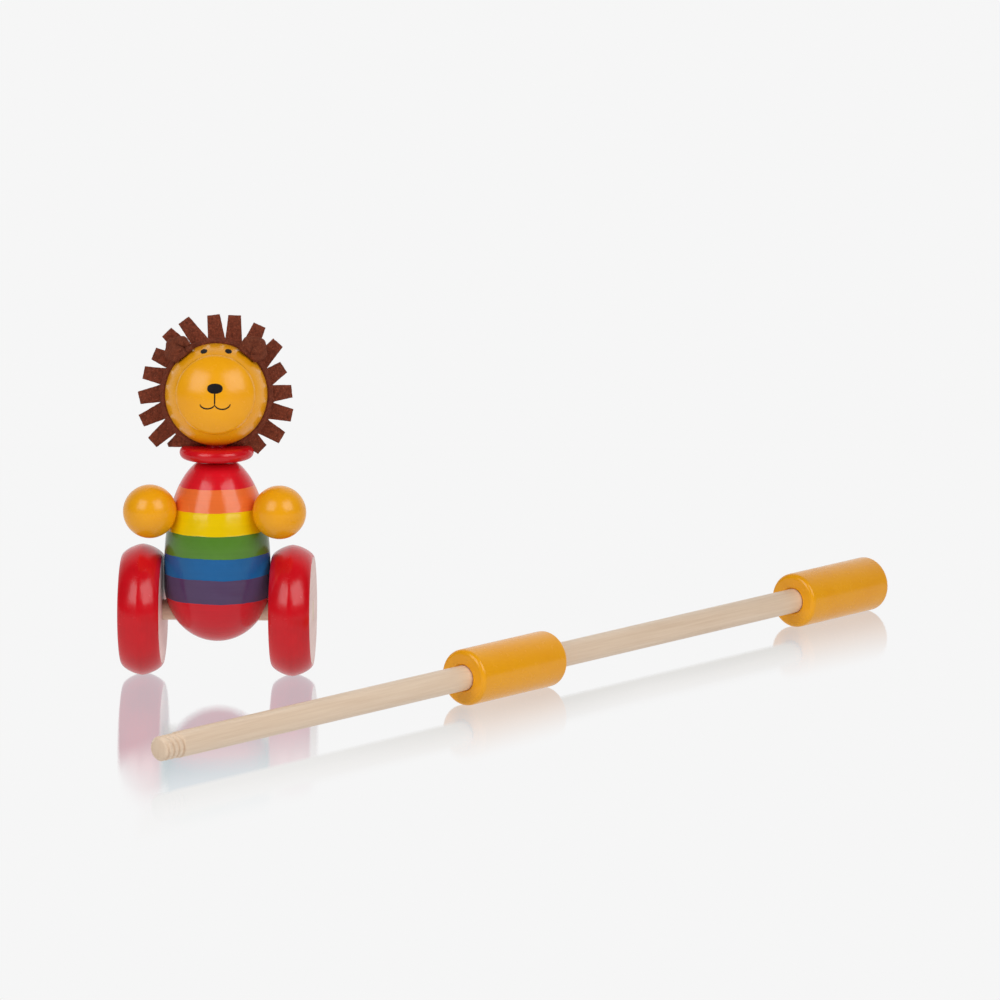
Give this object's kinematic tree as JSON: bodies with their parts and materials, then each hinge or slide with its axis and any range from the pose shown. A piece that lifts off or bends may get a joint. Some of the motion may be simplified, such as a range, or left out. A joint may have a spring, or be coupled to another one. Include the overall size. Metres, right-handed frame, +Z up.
{
  "type": "push along toy",
  "caption": "Wooden lion on two wheels with a striped egg-shaped body, felt mane, ball hands and a screw-in push stick with two grips.",
  "frame": {"origin": "on the floor, below the middle of the box that holds the lion and the stick lying beside it", "axes": "+Z up; the lion faces -Y and its axle runs along X; the stick lies on the floor, its threaded tip in front of the lion, pointing back and to +X"},
  "size_m": [0.3732, 0.4322, 0.1752],
  "materials": {
    "torso_paint": "gloss enamel in bands of red, orange, yellow, green, blue, purple and red on turned wood",
    "red_paint": "gloss red enamel on turned wood",
    "wheel_paint": "gloss red enamel on the tread, bare lacquered wood on the flat faces",
    "yellow_paint": "gloss golden yellow enamel on turned wood",
    "bare_wood": "clear-lacquered pale beech dowel",
    "brown_felt": "reddish brown wool felt"
  },
  "bodies": {
    "lion": {"torso": "torso_paint", "neck_dowel": "red_paint", "collar": "red_paint", "head": "yellow_paint", "muzzle": "yellow_paint", "muzzle_dowel": "bare_wood", "mane": "brown_felt", "ear_left": "brown_felt", "ear_right": "brown_felt", "hand_left": "yellow_paint", "hand_right": "yellow_paint", "hand_dowel_left": "bare_wood", "hand_dowel_right": "bare_wood"},
    "wheelset": {"axle": "bare_wood", "wheel_left": "wheel_paint", "wheel_right": "wheel_paint"},
    "push_stick": {"front_rod": "bare_wood", "rear_rod": "bare_wood", "middle_grip": "yellow_paint", "end_grip": "yellow_paint"}
  },
  "joints": [
    {"name": "axle_turn", "type": "hinge", "parent": "lion", "child": "wheelset", "pos_m": [-0.14004, 0.02677, 0.032], "axis": [1, 0, 0], "continuous": true},
    {"name": "stick_swing", "type": "hinge", "parent": "lion", "child": "push_stick", "pos_m": [-0.29273, -0.10729, 0.17205], "axis": [-0.7886, 0.1255, -0.602], "range_deg": [0, 295.28]}
  ]
}
